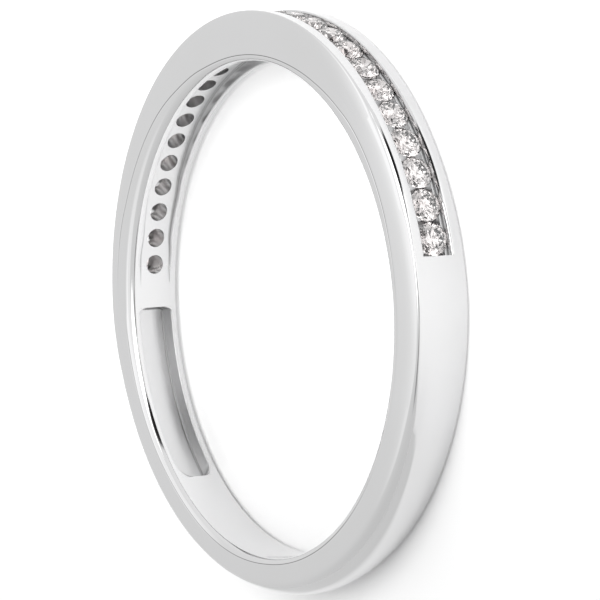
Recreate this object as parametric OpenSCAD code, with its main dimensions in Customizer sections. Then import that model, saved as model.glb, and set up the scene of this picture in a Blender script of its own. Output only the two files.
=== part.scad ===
// Channel set band: a polished white metal ring whose front half holds one row of round brilliants
// in a channel, with open backs behind the stones and a hollowed pocket in each side of the shank.
// The finger axis is Z, the head of the ring points along +Y, and the origin is the middle of the
// finger hole at half the band's width. All sizes are in millimetres and degrees.

/* [Finger hole] */
// Diameter of the hole that the finger goes through
finger_d = 17.3; // [15:0.1:21]
// Width of the plain wall of the finger hole, between its two bevels
land_w = 1.73; // [1.65:0.01:1.85]

/* [Band] */
// Width of the band over its two flat side faces
band_w = 2.1; // [2:0.05:2.6]
// Thickness of the band at the middle of its head
head_t = 1.74; // [1.68:0.01:2]
// Thickness of the band at its back
back_t = 1.38; // [1.2:0.01:1.6]
// Breadth of the bevel round each end of the finger hole, measured on the side face
bevel_t = 0.3; // [0.15:0.01:0.45]
// Breadth of the small bevel on the two outer rims
rim_bevel = 0.09; // [0.04:0.01:0.12]
// How far the rounded back falls from its middle to its side faces
back_fall = 0.35; // [0.2:0.01:0.45]
// Radius of the two rounded outer corners at the back
back_corner_r = 0.32; // [0.15:0.01:0.45]
// How far the circle of the rounded back stands off towards the head
back_shift = 0.55; // [0.45:0.01:0.7]

/* [Stones] */
// Number of stones in the row
stone_n = 25; // [11:1:25]
// Number of main facets round a stone's crown, and as many on its pavilion
mains = 8; // [6:1:10]
// Diameter of a stone over its girdle
stone_d = 1.13; // [1.1:0.01:1.16]
// Diameter of a stone's table, over its corners
table_d = 0.65; // [0.5:0.01:0.75]
// Height of a stone's crown, from girdle to table
crown_h = 0.17; // [0.12:0.01:0.2]
// Height of a stone's girdle
girdle_h = 0.03; // [0.02:0.01:0.05]
// Depth of a stone's pavilion, from girdle to point
pavilion_h = 0.49; // [0.4:0.01:0.52]
// Length of a stone's star facets, as a share of the way from its table to its girdle
star_length = 0.42; // [0.35:0.01:0.55]
// Length of a stone's lower facets, as a share of the way from its girdle to its point
lower_length = 0.76; // [0.65:0.01:0.85]
// Gap between the girdles of two neighbouring stones
stone_gap = 0.02; // [0.01:0.01:0.1]
// How far the tables lie below the rims of the channel
table_sink = 0.035; // [0.01:0.005:0.1]
// Clearance between a stone and its seat
seat_gap = 0.012; // [0.005:0.001:0.02]

/* [Channel] */
// Width of the channel between its two rims
channel_w = 1.09; // [1.04:0.01:1.1]
// Width of the channel below the ledges that carry the stones
ledge_w = 0.86; // [0.7:0.01:0.95]
// Depth of the channel below its rims
channel_t = 0.8; // [0.76:0.01:0.9]

/* [Open backs] */
// Diameter of the hole drilled behind each stone
back_hole_d = 0.62; // [0.4:0.01:0.8]
// Width of the shallow hollow on the inside of the head
hollow_w = 1.24; // [0.9:0.01:1.4]
// Depth of that hollow at the middle of the head
hollow_t = 0.4; // [0.3:0.01:0.45]
// How far the hollow's circle stands off towards the head
hollow_shift = 0.45; // [0.41:0.01:0.6]

/* [Pockets] */
// Width of the pocket on the inside of each side of the shank
pocket_w = 1.32; // [0.9:0.01:1.4]
// Depth of each pocket
pocket_t = 0.65; // [0.3:0.01:0.7]
// Angle above the middle of the ring at which a pocket starts
pocket_high = 1; // [-5:0.5:2]
// Angle below the middle of the ring at which a pocket's round end stops
pocket_low = 44; // [30:1:60]

/* [Hidden] */
// Smoothness of round metal, and an overlap that keeps cuts from ending on a face
$fn = 180;
small_fn = 48;
cut = 1;

// Circles of the finger hole, the head's crown, the rounded back and the inner hollow
inner_r = finger_d / 2;
crown_r = inner_r + (head_t + back_t) / 2;
crown_shift = (head_t - back_t) / 2;
back_r = inner_r + back_t + back_shift;
hollow_r = inner_r + hollow_t - hollow_shift;
bevel_w = (band_w - land_w) / 2;

// Radius of the arc across the rounded back, from its fall over half the width
half_w = band_w / 2;
back_arc_r = (half_w * half_w + back_fall * back_fall) / (2 * back_fall);

// The row of stones: its girdle circle, the angle from stone to stone, and where the row starts
girdle_r = stone_d / 2;
row_r = crown_r - table_sink - crown_h - girdle_h / 2;
stone_step = 2 * asin((stone_d + stone_gap) / (2 * row_r));
row_angle = (stone_n - 1) * stone_step;
end_angle = asin((girdle_r + stone_gap) / row_r);
channel_angle = row_angle + 2 * end_angle;
head_angle = 90;

// The round end of a pocket, and the angle that it takes up
pocket_end_r = pocket_w / 2;
pocket_end_angle = asin(pocket_end_r / inner_r);

// The facets of a stone: each main facet takes up two corners of the girdle. A stone has a whole
// number of them, so a number in between goes to the nearest.
main_n = round(mains);
halves = 2;
half_step = 360 / main_n / halves;
table_r = table_d / 2;
star_r = table_r + (girdle_r - table_r) * star_length;
lower_r = girdle_r * (1 - lower_length);
girdle_top = girdle_h / 2;
girdle_low = -girdle_h / 2;
table_z = girdle_top + crown_h;
culet_z = girdle_low - pavilion_h;
star_z = table_z - crown_h * (star_r * cos(half_step) - table_r) / (girdle_r - table_r);
lower_z = culet_z + pavilion_h * lower_r * cos(half_step) / girdle_r;

function two_digits(n) = n < 10 ? str("0", n) : str(n);
function stone_name(n) = str("stone_", two_digits(n));

// Places its children at the girdle of stone n, with their Z axis pointing out of the ring
module at_stone(n) {
    turn = head_angle - row_angle / 2 + (n - 1) * stone_step;
    translate([0, crown_shift, 0])
        rotate([0, 0, turn])
            translate([row_r, 0, 0])
                rotate([0, 90, 0])
                    children();
}

// Solid disc of the head: the crown's circle with a small bevel on each rim
module crown_disc() {
    translate([0, crown_shift, 0])
        rotate_extrude()
            polygon([
                [0, -half_w],
                [crown_r - rim_bevel, -half_w],
                [crown_r, rim_bevel - half_w],
                [crown_r, half_w - rim_bevel],
                [crown_r - rim_bevel, half_w],
                [0, half_w]
            ]);
}

// Section of the rounded back: an arc across the band, with a rounded corner at each side face
module back_section() {
    corner_x = back_r - back_fall / 2 - back_corner_r;
    corner_y = half_w - back_corner_r;
    intersection() {
        translate([back_r - back_arc_r, 0])
            circle(r = back_arc_r);
        union() {
            translate([0, -half_w])
                square([corner_x, band_w]);
            translate([0, -corner_y])
                square([back_r, 2 * corner_y]);
            for (side = [-1, 1])
                translate([corner_x, side * corner_y])
                    circle(r = back_corner_r);
        }
    }
}

// Solid disc of the back: it rounds the outside of the band more and more below the middle
module back_disc() {
    translate([0, back_shift, 0])
        rotate_extrude()
            intersection() {
                back_section();
                translate([0, -half_w])
                    square([back_r, band_w]);
            }
}

// The finger hole with the bevel round each of its ends
module finger_hole() {
    cylinder(r = inner_r, h = band_w + 2 * cut, center = true);
    for (side = [0, 1])
        mirror([0, 0, side])
            rotate_extrude()
                polygon([
                    [0, land_w / 2],
                    [inner_r, land_w / 2],
                    [inner_r + bevel_t, half_w],
                    [inner_r + bevel_t, half_w + cut],
                    [0, half_w + cut]
                ]);
}

// The channel for the row of stones: wide between its rims, narrower under the ledges
module channel() {
    ledge_r = row_r - girdle_h;
    translate([0, crown_shift, 0])
        rotate([0, 0, head_angle - channel_angle / 2])
            rotate_extrude(angle = channel_angle) {
                translate([crown_r - channel_t, -ledge_w / 2])
                    square([channel_t + cut, ledge_w]);
                translate([ledge_r, -channel_w / 2])
                    square([crown_r - ledge_r + cut, channel_w]);
            }
}

// The seat that is cut for one stone: its own outline, larger by the clearance all round
module seat() {
    $fn = small_fn;
    seat_r = girdle_r + seat_gap;
    rotate_extrude()
        polygon([
            [0, culet_z - 2 * seat_gap],
            [seat_r, girdle_low - seat_gap],
            [seat_r, girdle_top + seat_gap],
            [table_r + 2 * seat_gap, table_z + seat_gap],
            [0, table_z + seat_gap]
        ]);
}

// The hole that opens the back of one stone, down from the channel to the inside of the ring
module back_hole() {
    depth = crown_r - inner_r + cut;
    translate([0, 0, -depth])
        cylinder(d = back_hole_d, h = depth, $fn = small_fn);
}

// The shallow hollow on the inside of the head
module head_hollow() {
    translate([0, hollow_shift, 0])
        cylinder(r = hollow_r, h = hollow_w, center = true);
}

// The pocket in the shank on the -X side: a square end at the top and a round end at the bottom
module pocket() {
    floor_r = inner_r + pocket_t;
    sweep = pocket_high + pocket_low - pocket_end_angle;
    rotate([0, 0, 180 - pocket_high]) {
        rotate_extrude(angle = sweep)
            translate([inner_r - cut, -pocket_end_r])
                square([cut + pocket_t, pocket_w]);
        rotate([0, 0, sweep])
            translate([inner_r - cut, 0, 0])
                rotate([0, 90, 0])
                    cylinder(r = pocket_end_r, h = floor_r - inner_r + cut, $fn = small_fn);
    }
}

// The band: one piece of polished white metal
module band() {
    color("gainsboro")
        difference() {
            intersection() {
                crown_disc();
                back_disc();
            }
            finger_hole();
            channel();
            head_hollow();
            pocket();
            mirror([1, 0, 0])
                pocket();
            for (n = [1:stone_n])
                at_stone(n) {
                    seat();
                    back_hole();
                }
        }
}

// One round brilliant about its own axis: table, stars, kites, girdle and pavilion, all flat facets
module brilliant() {
    last = main_n - 1;
    girdle_n = halves * main_n;
    table_at = 0;
    star_at = table_at + main_n;
    upper_at = star_at + main_n;
    under_at = upper_at + girdle_n;
    lower_at = under_at + girdle_n;
    culet_at = lower_at + main_n;
    function ring(count, r, z, turn) = [
        for (i = [0:count - 1])
            let (a = i * 360 / count + turn)
                [r * cos(a), r * sin(a), z]
    ];
    function next(i, count) = (i + 1) % count;
    function before(i, count) = (i + count - 1) % count;
    points = concat(
        ring(main_n, table_r, table_z, 0),
        ring(main_n, star_r, star_z, half_step),
        ring(girdle_n, girdle_r, girdle_top, 0),
        ring(girdle_n, girdle_r, girdle_low, 0),
        ring(main_n, lower_r, lower_z, half_step),
        [[0, 0, culet_z]]
    );
    table = [[for (i = [last:-1:0]) table_at + i]];
    stars = [for (i = [0:last]) [table_at + i, table_at + next(i, main_n), star_at + i]];
    kites = [
        for (i = [0:last])
            [table_at + i, star_at + i, upper_at + halves * i, star_at + before(i, main_n)]
    ];
    uppers = [
        for (i = [0:last], half = [0:halves - 1])
            let (g = halves * i + half)
                [star_at + i, upper_at + next(g, girdle_n), upper_at + g]
    ];
    girdle = [
        for (g = [0:girdle_n - 1])
            [upper_at + g, upper_at + next(g, girdle_n), under_at + next(g, girdle_n), under_at + g]
    ];
    lowers = [
        for (i = [0:last], half = [0:halves - 1])
            let (g = halves * i + half)
                [lower_at + i, under_at + g, under_at + next(g, girdle_n)]
    ];
    pavilion = [
        for (i = [0:last])
            [culet_at, lower_at + before(i, main_n), under_at + halves * i, lower_at + i]
    ];
    polyhedron(points = points, faces = concat(table, stars, kites, uppers, girdle, lowers, pavilion));
}

// Stone n of the row, in its seat
module stone(n) {
    color("white")
        at_stone(n)
            brilliant();
}

band();
for (n = [1:stone_n])
    stone(n);
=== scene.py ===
# Looks of a channel set band: a slim half eternity ring in polished white metal, lying on its side.
# The finger axis is Z and the head of the ring points along +Y. Lengths are in metres.
import math

import bpy
from bpy.props import FloatProperty, FloatVectorProperty, IntProperty, PointerProperty
from mathutils import Matrix, Vector


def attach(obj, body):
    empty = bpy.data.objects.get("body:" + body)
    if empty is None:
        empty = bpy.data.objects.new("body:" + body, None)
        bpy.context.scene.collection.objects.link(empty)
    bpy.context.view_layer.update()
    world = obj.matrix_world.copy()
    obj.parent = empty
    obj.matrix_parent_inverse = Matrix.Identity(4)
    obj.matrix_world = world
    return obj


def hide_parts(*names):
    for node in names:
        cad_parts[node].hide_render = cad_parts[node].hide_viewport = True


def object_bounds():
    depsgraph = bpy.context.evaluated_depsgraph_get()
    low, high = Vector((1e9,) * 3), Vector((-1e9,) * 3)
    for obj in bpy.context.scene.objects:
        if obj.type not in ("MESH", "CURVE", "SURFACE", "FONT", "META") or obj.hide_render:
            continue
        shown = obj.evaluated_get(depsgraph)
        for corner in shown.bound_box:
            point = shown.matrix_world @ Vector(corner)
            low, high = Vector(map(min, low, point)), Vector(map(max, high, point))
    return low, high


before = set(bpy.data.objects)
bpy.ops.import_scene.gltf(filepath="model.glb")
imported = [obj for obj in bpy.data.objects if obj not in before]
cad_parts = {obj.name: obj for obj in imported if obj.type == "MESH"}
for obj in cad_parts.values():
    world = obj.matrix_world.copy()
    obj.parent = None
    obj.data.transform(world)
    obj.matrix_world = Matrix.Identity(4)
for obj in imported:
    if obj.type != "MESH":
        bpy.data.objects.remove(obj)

bl_info = {
    "name": "Channel set band",
    "version": (1, 0, 0),
    "blender": (4, 5, 0),
    "location": "View3D > Sidebar > Ring",
    "description": "Builds a channel set band with its row of brilliants and a plain studio",
    "category": "Object",
}

MM = 0.001
CAD_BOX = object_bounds()
CAD_STONES = sorted(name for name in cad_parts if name.startswith("stone_"))
HALF_WIDTH = CAD_BOX[1].z
HEAD_TOP = CAD_BOX[1].y
BACK_TOP = -CAD_BOX[0].y

# How the section changes round the ring. Each row holds an angle from the head in degrees, below
# zero on the -X side, and a length in millimetres. The bevels are finished by hand, so they differ.
RING_TABLES = {
    "bevel": (
        (-180, 0.18), (-157, 0.22), (-140, 0.20), (-124, 0.25), (-110, 0.30), (-90, 0.36), (-60, 0.34),
        (-25, 0.20), (0, 0.13), (25, 0.18), (60, 0.30), (90, 0.34), (120, 0.26), (150, 0.22), (180, 0.18),
    ),
    "bevel_round": (
        (-180, 0.03), (-112, 0.03), (-100, 0.06), (-90, 0.14), (-80, 0.26), (-30, 0.12), (0, 0.05),
        (30, 0.12), (80, 0.22), (95, 0.05), (180, 0.03),
    ),
    "line": (
        (-180, 0.21), (-157, 0.26), (-140, 0.24), (-124, 0.29), (-110, 0.35), (-98, 0.40), (-94, 0.43),
        (-90, 0.64), (-86, 0.98), (-80, 0.98), (-63, 0.82), (-41, 0.62), (-21, 0.33), (0, 0.20),
        (13, 0.22), (30, 0.31), (43, 0.43), (55, 0.52), (68, 0.50), (80, 0.43), (95, 0.40),
        (140, 0.25), (180, 0.21),
    ),
    "line_depth": (
        (-180, 0.012), (-138, 0.012), (-124, 0.003), (-112, 0.004), (-104, 0.012), (-97, 0.014),
        (-93, 0.0), (-86, 0.0), (-72, 0.012), (0, 0.014), (72, 0.012),
        (92, 0.0), (120, 0.0), (150, 0.012), (180, 0.012),
    ),
    "rim_round": (
        (-180, 0.45), (-150, 0.42), (-125, 0.33), (-105, 0.18), (-90, 0.09), (-60, 0.10), (-30, 0.05),
        (0, 0.04), (35, 0.05), (47, 0.10), (56, 0.26), (64, 0.34), (72, 0.20), (80, 0.08), (97, 0.08),
        (107, 0.13), (117, 0.24), (128, 0.36), (150, 0.46), (180, 0.48),
    ),
}

# Where the buff has bent the upper bevel and the side face: the share of each one's breadth and of
# its fall at which the bend lies
BEVEL_BEND = (0.32, 0.36)
FACE_BEND = (0.72, 0.52)
# The edges of the side that the ring lies on are crisper. They have this share of the rounding.
LOWER_EDGES = 0.2
# A hand-cut hollow strays from its line by up to this far, in a noise with this many cells to the
# ring's radius
HOLLOW_WAVE = 0.11 * MM
HOLLOW_CELLS = 4.5
# How far the walls of the hollow lean out for their depth. Those of a pocket stand straight.
WALL_LEAN = 0.12
# The buff reaches down to this depth
BUFF_REACH = 0.05 * MM
# The bevel ends this far below the highest part of the side face
BEVEL_END = 0.004 * MM
# Share of the side face that its soft bend takes, and of the rim's rounding that the mouth has
FACE_BEND_ROUNDING = 0.45
MOUTH_SHARE = 0.6
# The edges are rounder by this much at the ends of a pocket, where the burr turned
END_ROUNDING = 0.2 * MM
# Painted shade in the corners: how dark it is at a pocket's ends, along a recess and under the
# ledges. In the line of the side face it is fully dark at the depth given last.
PAINTED_SHADE_ENDS = 0.8
PAINTED_SHADE_CORNERS = 0.4
PAINTED_SHADE_LEDGES = 0.8
PAINTED_SHADE_LINE_DEPTH = 0.014 * MM
# Edges that turn by more than this stay sharp, and points closer than this become one
SHARP_TURN = math.radians(38)
MERGE_WITHIN = 0.0004 * MM
# The least distance between two corners that a rounding is worked out for
LEAST_EDGE = 0.0001 * MM

# Real sizes of the grain: patches of thinner plating, the buff's ripples, clouds of tint in a stone
# and the floor's grain. The buff's marks are finer than the eye sees, so they are drawn larger.
PATCH_ACROSS = 3 * MM
RIPPLE_ACROSS = 1.6 * MM
TINT_ACROSS = 0.9 * MM
GRAIN_ACROSS = 4 * MM
MARK_WIDTH = 0.1 * MM
MARK_LENGTH = 2 * MM
# The floor's brightness where its grain is darkest
GRAIN_LOW = 0.99
# Roughness that the noise of the marks gives, and how deep ripples and bare marks look
MARK_ROUGHNESS = {"From Min": 0.35, "From Max": 0.75, "To Min": 0.06, "To Max": 0.12}
RIPPLE_BUMP = {"Strength": 0.15, "Distance": 0.01 * MM}
MARK_BUMP = {"Strength": 0.1, "Distance": 0.003 * MM}
STONE_IOR = 2.42
MATT = {"Roughness": 0.9, "Specular IOR Level": 0.2}
WHITE = (1.0, 1.0, 1.0, 1.0)
# The nearest and the farthest that the camera sees, as shares of its distance
CLIP_NEAR = 0.05
CLIP_FAR = 50

# Soft patches in the studio's light: height and turn of the middle from +X towards the head, radius
# of the full patch, radius where it has faded, all in degrees, and what it multiplies the light by.
SOFT_PATCHES = (
    # Large softbox over the shoulder, which draws the white line on the bevel
    (66, 45, 18, 28, 3.0),
    # Lighter top of the far wall, which the bevels show
    (62, 168, 16, 27, 1.25),
    # Glow on the far wall, which brightens the side face at its upper right
    (50, 168, 7, 13, 1.2),
    # Bright wall in front of the stones, which they throw back
    (5, 25, 18, 35, 1.7),
    # Dark room behind the camera
    (26, 0, 8, 15, 0.10),
    # Half-dark shelves on the near side, which draw the dark edge of the near rim
    (24, -30, 8, 18, 0.45),
    # Half-dark doorway between the camera and the card
    (24, 25, 7, 13, 0.25),
    # Black card, standing, that draws the dark streaks on the rims
    (13, 50, 11, 15, 0.02),
    (30, 50, 11, 15, 0.02),
)


def to_linear(text):
    """Turns an sRGB hex colour into the linear colour that a shader takes."""
    parts = [int(text[i : i + 2], 16) / 255 for i in (1, 3, 5)]
    return [c / 12.92 if c <= 0.04045 else ((c + 0.055) / 1.055) ** 2.4 for c in parts]


def length(name, description, millimetres):
    """A size of the ring, given in millimetres and kept in metres."""
    shown = {"name": name, "description": description, "subtype": "DISTANCE", "unit": "LENGTH"}
    return FloatProperty(default=millimetres * MM, precision=6, **shown)


def angle(name, description, degrees):
    """An angle, given in degrees and kept in radians."""
    shown = {"name": name, "description": description, "subtype": "ANGLE", "unit": "ROTATION"}
    return FloatProperty(default=math.radians(degrees), **shown)


def colour(name, description, text):
    """A colour of a finish, given as an sRGB hex value."""
    shown = {"name": name, "description": description, "subtype": "COLOR"}
    return FloatVectorProperty(default=to_linear(text), size=3, **shown)


class BandSizes(bpy.types.PropertyGroup):
    """Sizes of the metal band."""

    finger_radius: length("Finger radius", "Radius of the finger hole", 8.65)
    half_width: length("Half width", "Half the width of the band", HALF_WIDTH / MM)
    land_half: length("Land half width", "Half the plain wall of the finger hole", 0.865)
    rim_half: length("Rim half width", "Half the width over the two outer rims", 0.97)
    crown_radius: length("Crown radius", "Radius of the outside", (HEAD_TOP + BACK_TOP) / 2 / MM)
    crown_shift: length("Crown shift", "How far the outside stands off to the head", 0.18)
    back_fall: length("Back fall", "How far the rounded back falls to its rims", 0.35)
    channel_half: length("Channel half width", "Half the channel between its rims", 0.545)
    ledge_half: length("Ledge half width", "Half the channel below its ledges", 0.43)
    ledge_depth: length("Ledge depth", "Depth of the ledges below the rims", 0.235)
    channel_depth: length("Channel depth", "Depth of the channel below its rims", 0.8)
    hollow_half: length("Hollow half width", "Half the shallow hollow inside the head", 0.62)
    hollow_depth: length("Hollow depth", "Depth of the hollow at the head", 0.4)
    hollow_run: length("Hollow run", "How fast the hollow runs out from the head", 0.45)
    pocket_radius: length("Pocket radius", "Radius of a pocket's round end", 0.66)
    pocket_depth: length("Pocket depth", "Depth of each pocket", 0.65)
    pocket_start: angle("Pocket start", "Angle from the head to a pocket's arched end", 88.6)
    pocket_arch: angle("Pocket arch", "Angle over which the arched end opens", 1.0)
    pocket_end: angle("Pocket end", "Angle from the head to a pocket's round end", 134)
    soft_edge: length("Soft edge", "Rounding of the hollow's and the pockets' edges", 0.04)
    fine_edge: length("Fine edge", "Rounding of the finger hole's edges", 0.045)
    mouth_edge: length("Mouth edge", "Least rounding of the channel's mouth", 0.04)
    inner_edge: length("Inner edge", "Rounding of the edges inside the channel", 0.012)
    line_width: length("Line width", "Half the width of the line in the side face", 0.024)


class StoneSizes(bpy.types.PropertyGroup):
    """Sizes of the round brilliants and of their row."""

    count: IntProperty(name="Stones", description="Stones in the row", default=len(CAD_STONES), min=1)
    girdle_radius: length("Girdle radius", "Radius of a stone over its girdle", 0.565)
    table_radius: length("Table radius", "Radius of a stone's table over its corners", 0.325)
    crown_height: length("Crown height", "Height from girdle to table", 0.17)
    girdle_height: length("Girdle height", "Height of the girdle", 0.03)
    pavilion_depth: length("Pavilion depth", "Depth from girdle to point", 0.49)
    gap: length("Gap", "Gap between two girdles", 0.02)
    seat_gap: length("Seat gap", "Clearance between a stone and its seat", 0.012)
    hole_radius: length("Back hole radius", "Radius of the hole behind each stone", 0.35)
    sink: length("Table sink", "Depth of the tables below the rims", 0.035)
    seed: IntProperty(name="Seed", description="Picks how each stone is turned", default=7)


class Finishes(bpy.types.PropertyGroup):
    """Colours of the finishes."""

    metal: colour("Metal", "Polished white metal", "#E0E0E1")
    metal_shade: colour("Metal shade", "Where the plating is thinner", "#DCDCDC")
    # Painted shade: the dark tone painted into the corners, under the ledges and in the line of the side
    # face
    line: colour("Line", "Polish left in corners and in the line of the side face", "#505050")
    satin: FloatProperty(name="Satin", description="Added roughness of the unpolished metal", default=0.23)
    stone: colour("Stone", "Colourless stone", "#FFFFFF")
    stone_tint: colour("Stone tint", "Faint warm tint in some stones", "#FBEDEA")
    floor: colour("Floor", "Graduated acrylic sheet, where the ring lies", "#FAFAFA")
    floor_front: colour("Floor in front", "The sheet's grey beyond the picture", "#DADADA")


class Studio(bpy.types.PropertyGroup):
    """Camera and light."""

    tilt: angle("Tilt", "Angle of the view from the finger axis", 58.45)
    turn: angle("Turn", "Angle of the view from +X towards the head", 0.95)
    roll: angle("Roll", "How far the camera is rolled", -3.91)
    distance: length("Distance", "Distance from the camera to the ring", 115.8)
    aim_right: length("Aim right", "How far right of the ring's middle the lens aims", 0.78)
    aim_up: length("Aim up", "How far above the ring's middle the lens aims", 0.29)
    lens: FloatProperty(name="Lens", description="Focal length in millimetres", default=199.0)
    floor_reach: length("Floor reach", "From the ring's middle to the floor's edges", 1200)
    floor_thick: length("Floor thickness", "Thickness of the acrylic sheet", 3)
    white_front: length("White front", "From the ring's middle to where the white ends", 10.55)
    grey_fade: length("Grey fade", "Distance over which white turns to grey", 3)
    grey_turn: angle("Grey turn", "Turn of the fade, level with the picture's lower edge", 3.15)
    glow: FloatProperty(name="Glow", description="Light that comes up through the sheet", default=0.24)
    glow_fade: length("Glow fade", "How far in front of the ring's middle the glow ends", 10)
    walls_low: FloatProperty(name="Shank walls", description="Brightness beyond the shank", default=0.72)
    walls_high: FloatProperty(name="Head walls", description="Brightness beyond the head", default=1.0)


def fill(tree, node, terms):
    """Links or sets inputs, in order or by name. A node given stands for its first output in use."""
    pairs = terms.items() if isinstance(terms, dict) else enumerate(terms)
    for key, term in pairs:
        if isinstance(term, bpy.types.Node):
            term = next(socket for socket in term.outputs if socket.enabled)
        if isinstance(term, bpy.types.NodeSocket):
            tree.links.new(term, node.inputs[key])
        elif term is not None:
            node.inputs[key].default_value = term


def add(tree, kind, terms=(), **settings):
    """Adds a node, sets its properties and fills its inputs."""
    node = tree.nodes.new(kind)
    for name, value in settings.items():
        setattr(node, name, value)
    fill(tree, node, terms)
    return node


def new_tree(name, sockets):
    """A geometry tree with named inputs and one geometry output. Returns it with its inputs."""
    tree = bpy.data.node_groups.new(name, "GeometryNodeTree")
    for label, kind in sockets.items():
        tree.interface.new_socket(name=label, in_out="INPUT", socket_type=kind)
    tree.interface.new_socket(name="Geometry", in_out="OUTPUT", socket_type="NodeSocketGeometry")
    start = add(tree, "NodeGroupInput")
    return tree, {label: start.outputs[label] for label in sockets}


def end_tree(tree, mesh, given):
    """Ends the tree of a piece: whole mesh, material and output."""
    whole = add(tree, "GeometryNodeRealizeInstances", [mesh])
    done = add(tree, "GeometryNodeSetMaterial", {"Geometry": whole, "Material": given["Material"]})
    add(tree, "NodeGroupOutput", [done])
    return tree


# Operations that a rule may give by a sign
SIGNS = {
    "+": "ADD",
    "-": "SUBTRACT",
    "*": "MULTIPLY",
    "/": "DIVIDE",
    "*+": "MULTIPLY_ADD",
    "<": "LESS_THAN",
    ">": "GREATER_THAN",
    "min": "MINIMUM",
    "max": "MAXIMUM",
}


def work_out(tree, known, *rules):
    """Adds a math node for each rule: a name, an operation, and terms that are names or numbers."""
    for name, sign, *terms in rules:
        values = [known[term] if isinstance(term, str) else term for term in terms]
        known[name] = add(tree, "ShaderNodeMath", values, operation=SIGNS.get(sign, sign))


def curve_of(tree, rows, share):
    """Adds a curve through the rows of a table and returns the length that it gives, in metres."""
    node = add(tree, "ShaderNodeFloatCurve", {"Value": share})
    mapping = node.mapping
    mapping.use_clip = False
    points = mapping.curves[0].points
    while len(points) < len(rows):
        points.new(0, 0)
    for point, (degrees, millimetres) in zip(points, rows):
        point.location = (0.5 + degrees / 360, millimetres)
        point.handle_type = "AUTO_CLAMPED"
    mapping.update()
    return add(tree, "ShaderNodeMath", [node, MM], operation="MULTIPLY")


def new_object(name, data):
    """An object with this mesh or camera, in the scene."""
    thing = bpy.data.objects.new(name, data)
    bpy.context.scene.collection.objects.link(thing)
    return thing


def new_mesh(name, vertices, faces=()):
    """An object with a mesh of these vertices and faces."""
    mesh = bpy.data.meshes.new(name)
    mesh.from_pydata(vertices, [], faces)
    return new_object(name, mesh)


def build_piece(name, tree, values):
    """Runs a geometry tree and returns its result as a plain mesh object at the origin."""
    holder = new_mesh(name + "_holder", [])
    modifier = holder.modifiers.new(name, "NODES")
    modifier.node_group = tree
    for item in tree.interface.items_tree:
        if item.in_out == "INPUT":
            modifier[item.identifier] = values[item.name]
    depsgraph = bpy.context.evaluated_depsgraph_get()
    mesh = bpy.data.meshes.new_from_object(
        holder.evaluated_get(depsgraph), preserve_all_data_layers=True, depsgraph=depsgraph
    )
    mesh.name = name
    # The objects that the tree has read aren't part of the ring
    helpers = [value for value in values.values() if isinstance(value, bpy.types.Object)]
    for thing in (holder, *helpers):
        bpy.data.objects.remove(thing)
    if not mesh.polygons:
        raise RuntimeError(f"the geometry tree of {name} made no faces")
    return new_object(name, mesh)


# Inputs of every tree that has the row in it
ROW_INPUTS = {
    "Stones": "NodeSocketInt",
    "Row radius": "NodeSocketFloat",
    "Crown shift": "NodeSocketFloat",
    "Step": "NodeSocketFloat",
    "Spin": "NodeSocketFloat",
    "Seed": "NodeSocketInt",
}


def row_terms(band, stones, spin):
    """What the row's inputs are set to. Each piece is turned about its own axis by up to the spin."""
    radius, step = row_values(band, stones)
    return dict(zip(ROW_INPUTS, (stones.count, radius, band.crown_shift, step, spin, stones.seed)))


def named_sizes(group):
    """The lengths and angles of a group, by the names that the panel shows."""
    numbers = [rna for rna in group.bl_rna.properties if rna.type == "FLOAT"]
    return {rna.name: getattr(group, rna.identifier) for rna in numbers}


def row_values(band, stones):
    """Radius of the circle through the girdles, and the angle from one stone to the next."""
    radius = band.crown_radius - stones.sink - stones.crown_height - stones.girdle_height / 2
    step = 2 * math.asin((2 * stones.girdle_radius + stones.gap) / (2 * radius))
    return radius, step


def channel_end(band, stones):
    """Angle from the head to each end wall of the channel, seen from the crown's centre."""
    radius, step = row_values(band, stones)
    return (stones.count - 1) / 2 * step + math.asin((stones.girdle_radius + stones.gap) / radius)


def row_tree():
    """Tree that stands a piece at each place of the row, with its Z axis out of the ring."""
    tree, given = new_tree("Row along the channel", {"Piece": "NodeSocketGeometry", **ROW_INPUTS})
    known = {**given, "index": add(tree, "GeometryNodeInputIndex")}
    work_out(
        tree,
        known,
        ("last", "-", "Stones", 1.0),
        ("middle", "*", "last", 0.5),
        ("place", "-", "middle", "index"),
        ("turn", "*", "place", "Step"),
        ("x", "SINE", "turn"),
        ("y", "COSINE", "turn"),
        ("place_x", "*", "x", "Row radius"),
        ("place_y", "*+", "y", "Row radius", "Crown shift"),
    )
    out = add(tree, "ShaderNodeCombineXYZ", [known["x"], known["y"], 0.0])
    place = add(tree, "ShaderNodeCombineXYZ", [known["place_x"], known["place_y"], 0.0])
    points = add(tree, "GeometryNodePoints", [given["Stones"], place])
    facing = add(tree, "FunctionNodeAlignRotationToVector", {"Vector": out}, axis="Z")
    # Inputs 2 and 3 are the least and the greatest random number
    spin = add(tree, "FunctionNodeRandomValue", {2: 0.0, 3: given["Spin"], "Seed": given["Seed"]})
    about = add(tree, "ShaderNodeCombineXYZ", [0.0, 0.0, spin])
    turned = add(tree, "FunctionNodeRotateRotation", [facing, about], rotation_space="LOCAL")
    terms = {"Points": points, "Instance": given["Piece"], "Rotation": turned}
    add(tree, "NodeGroupOutput", [add(tree, "GeometryNodeInstanceOnPoints", terms)])
    return tree


def in_row(tree, row, piece, given):
    """Uses the row's tree inside another tree, with the piece at each place."""
    terms = {"Piece": piece, **{label: given[label] for label in ROW_INPUTS}}
    return add(tree, "GeometryNodeGroup", terms, node_tree=row)


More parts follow.
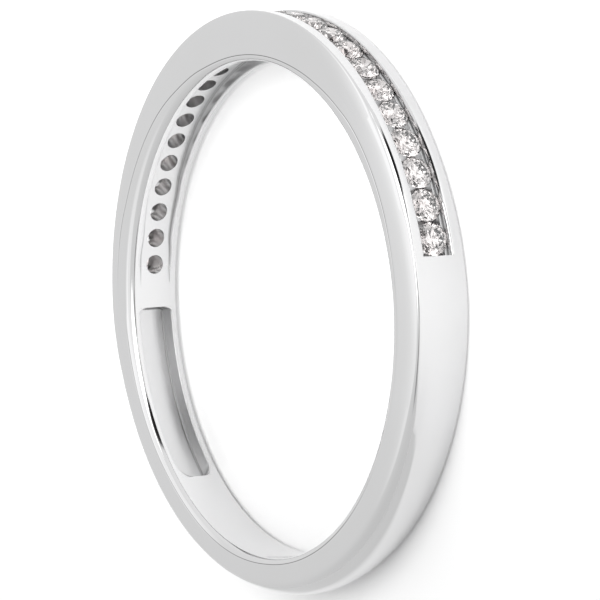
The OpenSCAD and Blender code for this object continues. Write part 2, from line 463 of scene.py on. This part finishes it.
def seat_cutter(band, stones):
    """Tool that cuts one seat and the hole behind it: a turned outline, with Z out of the ring."""
    gap = stones.seat_gap
    # A slope of the seat is moved by twice the gap, which leaves at least the gap across it
    slope_gap = 2 * gap
    top = stones.girdle_height / 2
    seat = stones.girdle_radius + gap
    point = -top - stones.pavilion_depth
    slope = stones.pavilion_depth / stones.girdle_radius
    meet = point - slope_gap + slope * stones.hole_radius
    deep = -(band.crown_radius - band.finger_radius)
    outline = (
        (stones.hole_radius, deep),
        (stones.hole_radius, meet),
        (seat, -top - gap),
        (seat, top + gap),
        (stones.table_radius + slope_gap, top + stones.crown_height + gap),
    )
    sides = 32
    turns = [math.tau * i / sides for i in range(sides)]
    vertices = [(r * math.cos(turn), r * math.sin(turn), z) for r, z in outline for turn in turns]
    faces = [tuple(range(sides))[::-1]]
    last = (len(outline) - 1) * sides
    for low in range(0, last, sides):
        high = low + sides
        for i in range(sides):
            j = (i + 1) % sides
            faces.append((low + i, low + j, high + j, high + i))
    faces.append(tuple(last + i for i in range(sides)))
    return new_mesh("seat_cutter", vertices, faces)


def band_path(band, stones):
    """Places round the finger hole at which the section is drawn, closer where a cut ends."""
    radius, _ = row_values(band, stones)
    end = channel_end(band, stones)
    channel_from_middle = math.atan2(radius * math.sin(end), radius * math.cos(end) + band.crown_shift)
    # A wall across the ring stands between two sections this close to each other
    wall = math.radians(0.03)
    marks = [channel_from_middle, band.pocket_start, band.pocket_end]
    turns = {mark + side * wall for mark in marks for side in (-1, 1)}
    # The ends of a pocket are round, with sections that get closer towards the end
    round_turn = band.pocket_radius / band.finger_radius
    round_centre = band.pocket_end - round_turn
    fine_steps = 14
    for i in range(1, fine_steps):
        share = math.sin(math.pi / 2 * i / fine_steps)
        turns.add(round_centre + round_turn * share)
        turns.add(band.pocket_start + band.pocket_arch * (1 - share))
    # Even sections everywhere else
    steps = 200
    clear = math.radians(0.2)
    for i in range(steps + 1):
        turn = math.pi * i / steps
        if all(abs(turn - other) > clear for other in list(turns)):
            turns.add(turn)
    half = sorted(turns)
    around = half + [-turn for turn in reversed(half[1:-1])]
    vertices = [(math.sin(turn), math.cos(turn), 0) for turn in around]
    return new_mesh("band_path", vertices), len(around), channel_from_middle


# Corners of half the section, from the floor of the hollow out to the floor of the channel. Each
# row names the radius, the height, the rounding, how unpolished the metal is left and how dark
# the painted shade at it is. A corner of the channel has no radius of its own. It gives the share of
# the channel's half width at which it lies where the channel is closed, and the depth that the open
# channel adds.
CORNERS = (
    ("floor_r", "floor_half", "edge_round", "sunk", "painted_shade_floor"),
    ("Finger radius", "inner_half", "edge_round", "sunk", "painted_shade_edge"),
    ("Finger radius", "Land half width", "land_round", None, None),
    ("bevel_mid_r", "bevel_mid_z", "bevel_round", None, None),
    ("bevel_r", "bevel_z", "bevel_round", None, None),
    ("line_in", "line_face_z", "Line width", None, None),
    ("line_r", "line_z", "Line width", None, "painted_shade_line"),
    ("line_out", "line_face_z", "Line width", None, None),
    ("face_mid_r", "face_mid_z", "face_round", None, None),
    ("rim_r", "Rim half width", "rim_round", None, None),
    (None, "Channel half width", "mouth_round", None, None, 1.0, 0.0),
    (None, "Channel half width", "inner_round", "open", "painted_shade_ledge", 0.76, "Ledge depth"),
    (None, "Ledge half width", "inner_round", "open", None, 0.50, "Ledge depth"),
    (None, "Ledge half width", "inner_round", "open", None, 0.20, "Channel depth"),
)
# Points of the rounded section for each corner: four on the curve and a plain one on each side
POINTS = 6
# Corners and points of the whole section
SECTION_CORNERS = 2 * len(CORNERS)
SECTION_POINTS = SECTION_CORNERS * POINTS

# Rules that work out the section's sizes from the angle, each from the ones above it
SECTION_RULES = (
    # The crown's circle, and how far the rounded back falls from it to its rims
    ("away", "ARCCOSINE", "head"),
    ("crown", "*+", "head", "Crown shift", "Crown radius"),
    ("below", "*", "head", -1.0),
    ("below", "max", "below", 0.0),
    ("fall", "*", "below", "Back fall"),
    # The channel is open up to its two end walls
    ("open", "<", "away", "Channel end"),
    ("closed", "-", 1.0, "open"),
    # The hollow behind the stones runs out where its circle meets the finger hole
    ("hollow_low", "-", "Hollow depth", "Hollow run"),
    ("hollow", "*+", "head", "Hollow run", "hollow_low"),
    ("hollow", "max", "hollow", 0.0),
    # A pocket starts with a low arch and narrows to a round end
    ("span", "/", "Pocket radius", "Finger radius"),
    ("round_from", "-", "Pocket end", "span"),
    ("past", "-", "away", "round_from"),
    ("share", "/", "past", "span"),
    ("arch", "-", "Pocket start", "away"),
    ("arch", "/", "arch", "Pocket arch"),
    ("arch", "+", "arch", 1.0),
    ("share", "max", "share", "arch"),
    ("share", "max", "share", 0.0),
    ("share", "min", "share", 1.0),
    ("square", "*", "share", "share"),
    ("narrow", "-", 1.0, "square"),
    ("narrow", "SQRT", "narrow"),
    ("fourth", "*", "square", "square"),
    ("shallow", "-", 1.0, "fourth"),
    ("shallow", "SQRT", "shallow"),
    ("after_start", ">", "away", "Pocket start"),
    ("before_end", "<", "away", "Pocket end"),
    ("pocket", "*", "after_start", "before_end"),
    ("ends", "*", "fourth", "pocket"),
    ("pocket_deep", "*", "shallow", "Pocket depth"),
    ("pocket_deep", "*", "pocket_deep", "pocket"),
    ("pocket_half", "*", "narrow", "Pocket radius"),
    ("deep", "max", "hollow", "pocket_deep"),
    # Width of whichever is there, with the slight wave of a hand-finished hollow
    ("wave", "*+", "noise", 2 * HOLLOW_WAVE, -HOLLOW_WAVE),
    ("plain_half", "+", "Hollow half width", "wave"),
    ("to_pocket", "-", "pocket_half", "plain_half"),
    ("inner_half", "*+", "to_pocket", "pocket", "plain_half"),
    ("lean", "*+", "pocket", -WALL_LEAN, WALL_LEAN),
    ("floor_inset", "*", "deep", "lean"),
    ("floor_half", "-", "inner_half", "floor_inset"),
    ("floor_half", "max", "floor_half", 0.0),
    ("floor_r", "+", "Finger radius", "deep"),
    ("sunk", "/", "deep", BUFF_REACH),
    ("sunk", "min", "sunk", 1.0),
    # Bevel: the lower one is straight, so its middle corner is halfway
    ("bevel_r", "+", "Finger radius", "bevel"),
    ("bend", "*+", "upper", BEVEL_BEND[0] - 0.5, 0.5),
    ("bevel_mid_r", "*+", "bevel", "bend", "Finger radius"),
    ("bend", "*+", "upper", 0.5 - BEVEL_BEND[1], -0.5),
    ("bevel_fall", "-", "Half width", "Land half width"),
    ("bevel_mid_z", "*+", "bevel_fall", "bend", "Half width"),
    ("bevel_z", "-", "Half width", BEVEL_END),
    # Side face: it falls towards the outer rim, first slowly and then faster
    ("rim_r", "-", "crown", "fall"),
    ("face", "-", "rim_r", "bevel_r"),
    ("rise", "-", "Rim half width", "Half width"),
    ("line_r", "+", "Finger radius", "line"),
    ("line_in", "-", "line_r", "Line width"),
    ("line_out", "+", "line_r", "Line width"),
    ("line_share", "-", "line_r", "bevel_r"),
    ("line_share", "/", "line_share", "face"),
    ("line_share", "*", "line_share", "line_share"),
    ("line_face_z", "*+", "line_share", "rise", "Half width"),
    ("line_z", "-", "line_face_z", "line_depth"),
    ("face_mid_r", "*+", "face", FACE_BEND[0], "bevel_r"),
    ("face_mid_r", "max", "face_mid_r", "line_out"),
    ("face_mid_z", "*+", "rise", FACE_BEND[1], "Half width"),
    # Roundings
    ("edge_round", "*+", "ends", END_ROUNDING, "Soft edge"),
    ("face_round", "*", "face", FACE_BEND_ROUNDING),
    ("mouth_round", "*+", "rim_round", MOUTH_SHARE, "Mouth edge"),
    ("mouth_round", "+", "mouth_round", "closed"),
    ("inner_round", "+", "Inner edge", "closed"),
    ("crisp", "*+", "upper", 1 - LOWER_EDGES, LOWER_EDGES),
    ("land_round", "*", "crisp", "Fine edge"),
    ("rim_round", "*", "crisp", "rim_round"),
    # Painted shade: a dark trace in the line of the side face, in the corners of the hollow
    # and of the channel, and most of all at the ends of a pocket
    ("painted_shade_line", "/", "line_depth", PAINTED_SHADE_LINE_DEPTH),
    ("painted_shade_edge", "*", "ends", PAINTED_SHADE_ENDS),
    ("painted_shade_floor", "*+", "sunk", PAINTED_SHADE_CORNERS, "painted_shade_edge"),
    ("painted_shade_floor", "min", "painted_shade_floor", 1.0),
    ("painted_shade_ledge", "*", "open", PAINTED_SHADE_LEDGES),
)

# Rules for the section and the corner that a vertex of the cage belongs to
CAGE_RULES = (
    ("rings", "+", "Places", 1.0),
    ("ring", "/", "index", SECTION_CORNERS),
    ("ring", "FLOOR", "ring"),
    ("corner", "MODULO", "index", SECTION_CORNERS),
    ("stop", "WRAP", "ring", "Places", 0.0),
    ("mirrored", "-", SECTION_CORNERS - 1, "corner"),
    ("in_half", "min", "corner", "mirrored"),
    ("upper", "<", "corner", "mirrored"),
    ("side", "*+", "upper", 2.0, -1.0),
)

# Rules for the place of a point on the curve of its corner, and for its corner's neighbours
ROUNDING_RULES = (
    ("ring", "/", "index", SECTION_POINTS + 1),
    ("ring", "FLOOR", "ring"),
    ("along", "MODULO", "index", SECTION_POINTS + 1),
    ("along", "MODULO", "along", SECTION_POINTS),
    ("corner", "/", "along", POINTS),
    ("corner", "FLOOR", "corner"),
    ("point", "MODULO", "along", POINTS),
    ("first", "*", "ring", SECTION_CORNERS),
    ("at", "+", "first", "corner"),
    ("next", "+", "corner", 1.0),
    ("next", "MODULO", "next", SECTION_CORNERS),
    ("next", "+", "next", "first"),
    ("back", "+", "corner", SECTION_CORNERS - 1),
    ("back", "MODULO", "back", SECTION_CORNERS),
    ("back", "+", "back", "first"),
    ("s", "-", "point", 1.0),
    ("s", "/", "s", POINTS - 3),
    ("s", "max", "s", 0.0),
    ("s", "min", "s", 1.0),
    ("left", "-", 1.0, "s"),
    ("toward_back", "*", "left", "left"),
    ("toward_next", "*", "s", "s"),
    ("is_first", "<", "point", 0.5),
    ("is_last", ">", "point", POINTS - 1.5),
    ("extra_back", "*", "is_first", "Fine edge"),
    ("extra_next", "*", "is_last", "Fine edge"),
    ("plain", "+", "is_first", "is_last"),
    ("curved", "-", 1.0, "plain"),
)


def crown_rules(height, closed_share, depth):
    """Rules for a corner of the channel, which lies on the crown's dome where it is closed."""
    return (
        ("closed_z", "*", "Channel half width", closed_share),
        ("apart", "-", height, "closed_z"),
        ("crown_z", "*+", "apart", "open", "closed_z"),
        ("out", "/", "crown_z", "Rim half width"),
        ("out", "*", "out", "out"),
        ("lost", "*", "out", "fall"),
        ("lost", "*+", "open", depth, "lost"),
        ("crown_r", "-", "crown", "lost"),
    )


def band_tree(row, sizes):
    """Tree of the band: corners by rule, rounded into a section, joined round, then cut."""
    sockets = {**dict.fromkeys(sizes, "NodeSocketFloat"), **ROW_INPUTS, "Path": "NodeSocketObject"}
    sockets |= {"Places": "NodeSocketInt", "Seat": "NodeSocketObject", "Material": "NodeSocketMaterial"}
    tree, given = new_tree("Band", sockets)
    path = add(tree, "GeometryNodeObjectInfo", {"Object": given["Path"]}).outputs["Geometry"]
    position = add(tree, "GeometryNodeInputPosition")

    # Cage: one vertex for each corner of each section
    known = {**given, "index": add(tree, "GeometryNodeInputIndex")}
    work_out(tree, known, *CAGE_RULES)
    terms = {"Geometry": path, "Value": position, "Index": known["stop"]}
    way = add(tree, "GeometryNodeSampleIndex", terms, data_type="FLOAT_VECTOR")
    known["right"], known["head"], _ = add(tree, "ShaderNodeSeparateXYZ", [way]).outputs
    work_out(tree, known, ("turn", "ARCTAN2", "right", "head"), ("around", "*+", "turn", 1 / math.tau, 0.5))
    for name, rows in RING_TABLES.items():
        known[name] = curve_of(tree, rows, known["around"])
    terms = {"Vector": way, "Scale": HOLLOW_CELLS, "Detail": 1.0}
    known["noise"] = add(tree, "ShaderNodeTexNoise", terms)
    work_out(tree, known, *SECTION_RULES)
    rows = []
    for radius, height, rounding, bare, dark, *channel in CORNERS:
        r, z = known.get(radius), known[height]
        if channel:
            work_out(tree, known, *crown_rules(height, *channel))
            r, z = known["crown_r"], known["crown_z"]
        rows.append((r, z, known[rounding], known.get(bare), known.get(dark)))
    for name, values in zip(("r", "z", "round", "bare", "dark"), zip(*rows)):
        node = add(tree, "GeometryNodeIndexSwitch", data_type="FLOAT")
        while len(node.index_switch_items) < len(CORNERS):
            node.index_switch_items.new()
        fill(tree, node, [known["in_half"], *values])
        known[name] = node
    work_out(tree, known, ("x", "*", "right", "r"), ("y", "*", "head", "r"), ("z", "*", "z", "side"))
    place = add(tree, "ShaderNodeCombineXYZ", [known["x"], known["y"], known["z"]])
    cage = add(tree, "GeometryNodeMeshGrid", [1.0, 1.0, known["rings"], SECTION_CORNERS])
    for name in ("round", "bare", "dark"):
        terms = {"Geometry": cage, "Name": name, "Value": known[name]}
        cage = add(tree, "GeometryNodeStoreNamedAttribute", terms)
    cage = add(tree, "GeometryNodeSetPosition", {"Geometry": cage, "Position": place})

    # Rounded section: each corner of the cage becomes a short curve with a plain point on each side
    work_out(tree, known, *ROUNDING_RULES)
    for name in ("round", "bare", "dark"):
        value = add(tree, "GeometryNodeInputNamedAttribute", {"Name": name})
        terms = {"Geometry": cage, "Value": value, "Index": known["at"]}
        known[name + "_here"] = add(tree, "GeometryNodeSampleIndex", terms)
    places = {}
    for name in ("at", "back", "next"):
        terms = {"Geometry": cage, "Value": position, "Index": known[name]}
        places[name] = add(tree, "GeometryNodeSampleIndex", terms, data_type="FLOAT_VECTOR")
    place = places["at"]
    for name in ("back", "next"):
        step = add(tree, "ShaderNodeVectorMath", [places[name], places["at"]], operation="SUBTRACT")
        known["far"] = add(tree, "ShaderNodeVectorMath", [step], operation="LENGTH")
        work_out(
            tree,
            known,
            ("far", "max", "far", LEAST_EDGE),
            ("reach", "+", "round_here", "extra_" + name),
            ("reach", "/", "reach", "far"),
            ("reach", "min", "reach", 0.5),
            ("reach", "*", "reach", "toward_" + name),
        )
        moved = add(tree, "ShaderNodeVectorMath", {0: step, "Scale": known["reach"]}, operation="SCALE")
        place = add(tree, "ShaderNodeVectorMath", [place, moved], operation="ADD")
    skin = add(tree, "GeometryNodeMeshGrid", [1.0, 1.0, known["rings"], SECTION_POINTS + 1])
    # Only the curve of a corner holds the painted shade, and not the plain points beside it
    work_out(tree, known, ("dark_here", "*", "dark_here", "curved"))
    for name in ("bare", "dark"):
        terms = {"Geometry": skin, "Name": name, "Value": known[name + "_here"]}
        skin = add(tree, "GeometryNodeStoreNamedAttribute", terms)
    skin = add(tree, "GeometryNodeSetPosition", {"Geometry": skin, "Position": place})
    skin = add(tree, "GeometryNodeMergeByDistance", {"Geometry": skin, "Distance": MERGE_WITHIN})

    # Seats and open backs, one at each place of the row
    seat = add(tree, "GeometryNodeObjectInfo", {"Object": given["Seat"]}).outputs["Geometry"]
    seats = add(tree, "GeometryNodeRealizeInstances", [in_row(tree, row, seat, given)])
    terms = {"Mesh 1": skin, "Mesh 2": seats}
    whole = add(tree, "GeometryNodeMeshBoolean", terms, operation="DIFFERENCE", solver="MANIFOLD")
    # The cut drops what was stored on the faces that it touches, so it is read back from the skin
    for name in ("bare", "dark"):
        value = add(tree, "GeometryNodeInputNamedAttribute", {"Name": name})
        terms = {"Mesh": skin, "Value": value}
        nearest = add(tree, "GeometryNodeSampleNearestSurface", terms)
        terms = {"Geometry": whole, "Name": name, "Value": nearest}
        whole = add(tree, "GeometryNodeStoreNamedAttribute", terms)
    whole = add(tree, "GeometryNodeSetShadeSmooth", {"Geometry": whole})
    bend = add(tree, "GeometryNodeInputMeshEdgeAngle")
    sharp = add(tree, "FunctionNodeCompare", {0: bend, 1: SHARP_TURN}, operation="GREATER_THAN")
    terms = {"Geometry": whole, "Selection": sharp, "Shade Smooth": False}
    whole = add(tree, "GeometryNodeSetShadeSmooth", terms, domain="EDGE")
    return end_tree(tree, whole, given)


def brilliant(stones):
    """One round brilliant about its own axis: table, stars, kites, girdle and pavilion."""
    mains = 8
    half_step = math.pi / mains
    girdle, table = stones.girdle_radius, stones.table_radius
    star_length, lower_length = 0.42, 0.76
    star = table + (girdle - table) * star_length
    lower = girdle * (1 - lower_length)
    top = stones.girdle_height / 2
    table_z = top + stones.crown_height
    point_z = -top - stones.pavilion_depth
    slope = stones.crown_height / (girdle - table)
    star_z = table_z - slope * (star * math.cos(half_step) - table)
    lower_z = point_z + stones.pavilion_depth * lower * math.cos(half_step) / girdle

    def ring(count, radius, z, start):
        turns = [math.tau * i / count + start for i in range(count)]
        return [(radius * math.cos(turn), radius * math.sin(turn), z) for turn in turns]

    around = 2 * mains
    vertices = (
        ring(mains, table, table_z, 0)
        + ring(mains, star, star_z, half_step)
        + ring(around, girdle, top, 0)
        + ring(around, girdle, -top, 0)
        + ring(mains, lower, lower_z, half_step)
        + [(0, 0, point_z)]
    )
    star_at, upper_at = mains, 2 * mains
    under_at = upper_at + around
    lower_at = under_at + around
    point_at = lower_at + mains
    faces = [tuple(range(mains))]
    for i in range(mains):
        after, before = (i + 1) % mains, (i - 1) % mains
        faces.append((i, star_at + i, after))
        faces.append((i, star_at + before, upper_at + 2 * i, star_at + i))
        faces.append((point_at, lower_at + i, under_at + 2 * i, lower_at + before))
        for g in (2 * i, 2 * i + 1):
            h = (g + 1) % around
            faces.append((star_at + i, upper_at + g, upper_at + h))
            faces.append((upper_at + g, under_at + g, under_at + h, upper_at + h))
            faces.append((lower_at + i, under_at + h, under_at + g))
    return new_mesh("brilliant", vertices, faces)


def stones_tree(row):
    """Tree of the stones: the brilliant at each place of the row, each turned at random."""
    sockets = {"Stone": "NodeSocketObject", **ROW_INPUTS, "Material": "NodeSocketMaterial"}
    tree, given = new_tree("Stones", sockets)
    stone = add(tree, "GeometryNodeObjectInfo", {"Object": given["Stone"]}).outputs["Geometry"]
    return end_tree(tree, in_row(tree, row, stone, given), given)


def shader_tree(owner):
    """The empty node tree of a new material or world."""
    owner.use_nodes = True
    owner.node_tree.nodes.clear()
    return owner.node_tree


def new_material(name):
    """A material with its tree, its Principled shader and the object's own coordinates."""
    material = bpy.data.materials.new(name)
    tree = shader_tree(material)
    shader = add(tree, "ShaderNodeBsdfPrincipled")
    add(tree, "ShaderNodeOutputMaterial", [shader])
    return material, tree, shader, add(tree, "ShaderNodeTexCoord").outputs["Object"]


def polished_white_gold(colours):
    """White gold plated with rhodium and buffed: a mirror, with satin metal where no buff reaches."""
    material, tree, shader, place = new_material("Rhodium-plated white gold, buffed")
    known = {}
    for name in ("bare", "dark"):
        known[name] = add(tree, "ShaderNodeAttribute", attribute_name=name).outputs["Fac"]
    # The plating is a little thinner in patches, and the corners get painted shade
    patches = add(tree, "ShaderNodeTexNoise", {"Vector": place, "Scale": 1 / PATCH_ACROSS, "Detail": 2.0})
    tone = (*colours.metal, 1)
    for share, other in ((patches, colours.metal_shade), (known["dark"], colours.line)):
        terms = {0: share, 6: tone, 7: (*other, 1)}
        tone = add(tree, "ShaderNodeMix", terms, data_type="RGBA")
    # The marks of the buff run round the ring. Their noise has four dimensions, the way round as a
    # circle, the height and the radius, so that the marks meet all the way round.
    x, y, known["z"] = add(tree, "ShaderNodeSeparateXYZ", [place]).outputs
    flat = add(tree, "ShaderNodeCombineXYZ", [x, y, 0.0])
    known["out"] = add(tree, "ShaderNodeVectorMath", [flat], operation="LENGTH")
    way = add(tree, "ShaderNodeVectorMath", [flat], operation="NORMALIZE")
    circle = {0: way, "Scale": CAD_BOX[1].x / MARK_LENGTH}
    circle = add(tree, "ShaderNodeVectorMath", circle, operation="SCALE")
    work_out(tree, known, ("up", "/", "z", MARK_WIDTH), ("deep", "/", "out", MARK_WIDTH))
    up = add(tree, "ShaderNodeCombineXYZ", [0.0, 0.0, known["up"]])
    where = add(tree, "ShaderNodeVectorMath", [circle, up], operation="ADD")
    terms = {"Vector": where, "W": known["deep"], "Scale": 1.0, "Detail": 2.0}
    known["marks"] = add(tree, "ShaderNodeTexNoise", terms, noise_dimensions="4D")
    known["rough"] = add(tree, "ShaderNodeMapRange", {"Value": known["marks"], **MARK_ROUGHNESS})
    work_out(tree, known, ("rough", "*+", "bare", colours.satin, "rough"))
    # The marks stay deep where only a small burr reaches
    work_out(tree, known, ("scratches", "*", "marks", "bare"))
    # A hand-held buff leaves the faces very slightly uneven
    ripple = add(tree, "ShaderNodeTexNoise", {"Vector": place, "Scale": 1 / RIPPLE_ACROSS, "Detail": 1.0})
    bump = add(tree, "ShaderNodeBump", {"Height": ripple, **RIPPLE_BUMP})
    bump = add(tree, "ShaderNodeBump", {"Height": known["scratches"], "Normal": bump, **MARK_BUMP})
    fill(tree, shader, {"Base Color": tone, "Metallic": 1.0, "Roughness": known["rough"], "Normal": bump})
    return material


def cut_stone(colours):
    """Colourless cut and polished stone: clear, strongly bending light, with a trace of tint."""
    material, tree, shader, place = new_material("Colourless brilliant, cut and polished")
    clouds = add(tree, "ShaderNodeTexNoise", {"Vector": place, "Scale": 1 / TINT_ACROSS, "Detail": 1.0})
    terms = {0: clouds, 6: (*colours.stone, 1), 7: (*colours.stone_tint, 1)}
    tone = add(tree, "ShaderNodeMix", terms, data_type="RGBA")
    clear = {"Roughness": 0.0, "IOR": STONE_IOR, "Transmission Weight": 1.0}
    fill(tree, shader, {"Base Color": tone, **clear})
    return material


def graduated_acrylic(colours, studio):
    """Matt acrylic, white and lit from below under the ring, grey beyond the picture's front edge."""
    material, tree, shader, place = new_material("Graduated acrylic, lit from below")
    turned = add(tree, "ShaderNodeMapping", {"Vector": place, "Rotation": (0.0, 0.0, -studio.grey_turn)})
    to_head = add(tree, "ShaderNodeSeparateXYZ", [turned]).outputs[1]
    # The sheet's print goes from grey to white, which the polished shank shows as a soft shade. The
    # lamp below stands towards the head, where it keeps the shadows pale.
    print_range = {"From Min": -studio.white_front - studio.grey_fade, "From Max": -studio.white_front}
    lamp_range = {"From Min": -studio.glow_fade, "From Max": 0.0, "To Max": studio.glow}
    share, lit = [
        add(tree, "ShaderNodeMapRange", {"Value": to_head, **ends}, interpolation_type="SMOOTHSTEP")
        for ends in (print_range, lamp_range)
    ]
    terms = {0: share, 6: (*colours.floor_front, 1), 7: (*colours.floor, 1)}
    tone = add(tree, "ShaderNodeMix", terms, data_type="RGBA")
    # The grain is barely visible
    grain = add(tree, "ShaderNodeTexNoise", {"Vector": place, "Scale": 1 / GRAIN_ACROSS, "Detail": 2.0})
    bright = add(tree, "ShaderNodeMapRange", {"Value": grain, "To Min": GRAIN_LOW})
    mottled = add(tree, "ShaderNodeVectorMath", {0: tone, "Scale": bright}, operation="SCALE")
    glow = {"Emission Color": WHITE, "Emission Strength": lit}
    fill(tree, shader, {"Base Color": mottled, **MATT, **glow})
    return material


def studio_floor(studio, top, material):
    """The sheet that the ring lies on, as a flat slab."""
    ends = (-studio.floor_reach, studio.floor_reach)
    levels = (top - studio.floor_thick, top)
    corners = [(x, y, z) for x in ends for y in ends for z in levels]
    faces = [(0, 1, 3, 2), (4, 6, 7, 5), (0, 4, 5, 1), (2, 3, 7, 6), (0, 2, 6, 4), (1, 5, 7, 3)]
    sheet = new_mesh("floor", corners, faces)
    sheet.data.materials.append(material)


class RING_OT_make_band(bpy.types.Operator):
    """Make the polished band with its channel, seats, open backs, hollow and pockets"""

    bl_idname = "ring.make_band"
    bl_label = "Make the band"

    def execute(self, context):
        band, stones = context.scene.band_sizes, context.scene.stone_sizes
        path, places, end = band_path(band, stones)
        sizes = {**named_sizes(band), "Channel end": end}
        values = {
            **sizes,
            **row_terms(band, stones, 0.0),
            "Path": path,
            "Places": places,
            "Seat": seat_cutter(band, stones),
            "Material": polished_white_gold(context.scene.finishes),
        }
        piece = build_piece("polished_band", band_tree(row_tree(), sizes), values)
        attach(piece, "root")
        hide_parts("band")
        return {"FINISHED"}


class RING_OT_make_stones(bpy.types.Operator):
    """Make the row of round brilliants, each in its seat and turned at random"""

    bl_idname = "ring.make_stones"
    bl_label = "Make the stones"

    def execute(self, context):
        band, stones = context.scene.band_sizes, context.scene.stone_sizes
        values = {
            "Stone": brilliant(stones),
            **row_terms(band, stones, math.tau),
            "Material": cut_stone(context.scene.finishes),
        }
        piece = build_piece("brilliants", stones_tree(row_tree()), values)
        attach(piece, "root")
        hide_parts(*CAD_STONES)
        return {"FINISHED"}


class RING_OT_make_stage(bpy.types.Operator):
    """Make the floor, the studio light and the camera"""

    bl_idname = "ring.make_stage"
    bl_label = "Make the stage"

    def execute(self, context):
        scene = context.scene
        studio = scene.studio
        acrylic = graduated_acrylic(scene.finishes, studio)
        studio_floor(studio, -scene.band_sizes.half_width, acrylic)
        studio_world(scene, studio)
        studio_camera(scene, studio)
        scene.view_settings.view_transform = "Standard"
        return {"FINISHED"}


def studio_world(scene, studio):
    """Light from all round: pale walls, brighter beyond the head, and soft patches on them."""
    world = bpy.data.worlds.new("Studio")
    tree = shader_tree(world)
    way = add(tree, "ShaderNodeTexCoord").outputs["Generated"]
    to_head = add(tree, "ShaderNodeSeparateXYZ", [way]).outputs[1]
    walls = {"From Min": -1.0, "To Min": studio.walls_low, "To Max": studio.walls_high}
    light = add(tree, "ShaderNodeMapRange", {"Value": to_head, **walls})
    for height, turn, core, edge, gain in SOFT_PATCHES:
        middle = direction(math.radians(height), math.radians(turn))
        near = add(tree, "ShaderNodeVectorMath", [way, middle], operation="DOT_PRODUCT")
        fade = {"From Min": math.cos(math.radians(edge)), "From Max": math.cos(math.radians(core))}
        terms = {"Value": near, **fade, "To Min": 1.0, "To Max": gain}
        share = add(tree, "ShaderNodeMapRange", terms, interpolation_type="SMOOTHSTEP")
        light = add(tree, "ShaderNodeMath", [light, share], operation="MULTIPLY")
    sky = add(tree, "ShaderNodeBackground", {"Color": WHITE, "Strength": light})
    add(tree, "ShaderNodeOutputWorld", [sky])
    scene.world = world


def direction(height, turn):
    """The way to a place in the studio, from its height and its turn from +X towards the head."""
    flat = math.cos(height)
    return flat * math.cos(turn), flat * math.sin(turn), math.sin(height)


def studio_camera(scene, studio):
    """Camera at the photo's angle, rolled so that the head of the lying ring is up in the picture."""
    back = Vector(direction(math.pi / 2 - studio.tilt, studio.turn))
    place = back * studio.distance

    def axes(back_axis):
        level = -back_axis.cross(Vector((0, 0, 1))).normalized()
        side = level.cross(back_axis)
        across, along = math.cos(studio.roll), math.sin(studio.roll)
        return across * side + along * level, -along * side + across * level

    right, up = axes(back)
    aim = right * studio.aim_right + up * studio.aim_up
    back = (place - aim).normalized()
    right, up = axes(back)
    data = bpy.data.cameras.new("camera")
    data.lens = studio.lens
    data.clip_start = studio.distance * CLIP_NEAR
    data.clip_end = studio.distance * CLIP_FAR
    camera = new_object("camera", data)
    turned = Matrix((right, up, back)).transposed().to_4x4()
    camera.matrix_world = Matrix.Translation(place) @ turned
    scene.camera = camera


class RING_PT_panel(bpy.types.Panel):
    """Sizes, finishes and studio of the ring, with a button for each step"""

    bl_label = "Channel set band"
    bl_idname = "RING_PT_panel"
    bl_space_type = "VIEW_3D"
    bl_region_type = "UI"
    bl_category = "Ring"

    def draw(self, context):
        for group_name in GROUPS:
            group = getattr(context.scene, group_name)
            box = self.layout.box()
            for name in group.__annotations__:
                box.prop(group, name)
        for operator in OPERATORS:
            self.layout.operator(operator.bl_idname)


GROUPS = {
    "band_sizes": BandSizes,
    "stone_sizes": StoneSizes,
    "finishes": Finishes,
    "studio": Studio,
}
OPERATORS = (RING_OT_make_band, RING_OT_make_stones, RING_OT_make_stage)
CLASSES = (*GROUPS.values(), *OPERATORS, RING_PT_panel)


def register():
    """Registers the classes and hangs the sizes on the scene."""
    for cls in CLASSES:
        bpy.utils.register_class(cls)
    for name, group in GROUPS.items():
        setattr(bpy.types.Scene, name, PointerProperty(type=group))


def unregister():
    """Undoes what register did."""
    for name in GROUPS:
        delattr(bpy.types.Scene, name)
    for cls in reversed(CLASSES):
        bpy.utils.unregister_class(cls)


def main():
    """Builds each piece and the stage."""
    register()
    bpy.ops.ring.make_band()
    bpy.ops.ring.make_stones()
    bpy.ops.ring.make_stage()


if __name__ == "__main__":
    main()
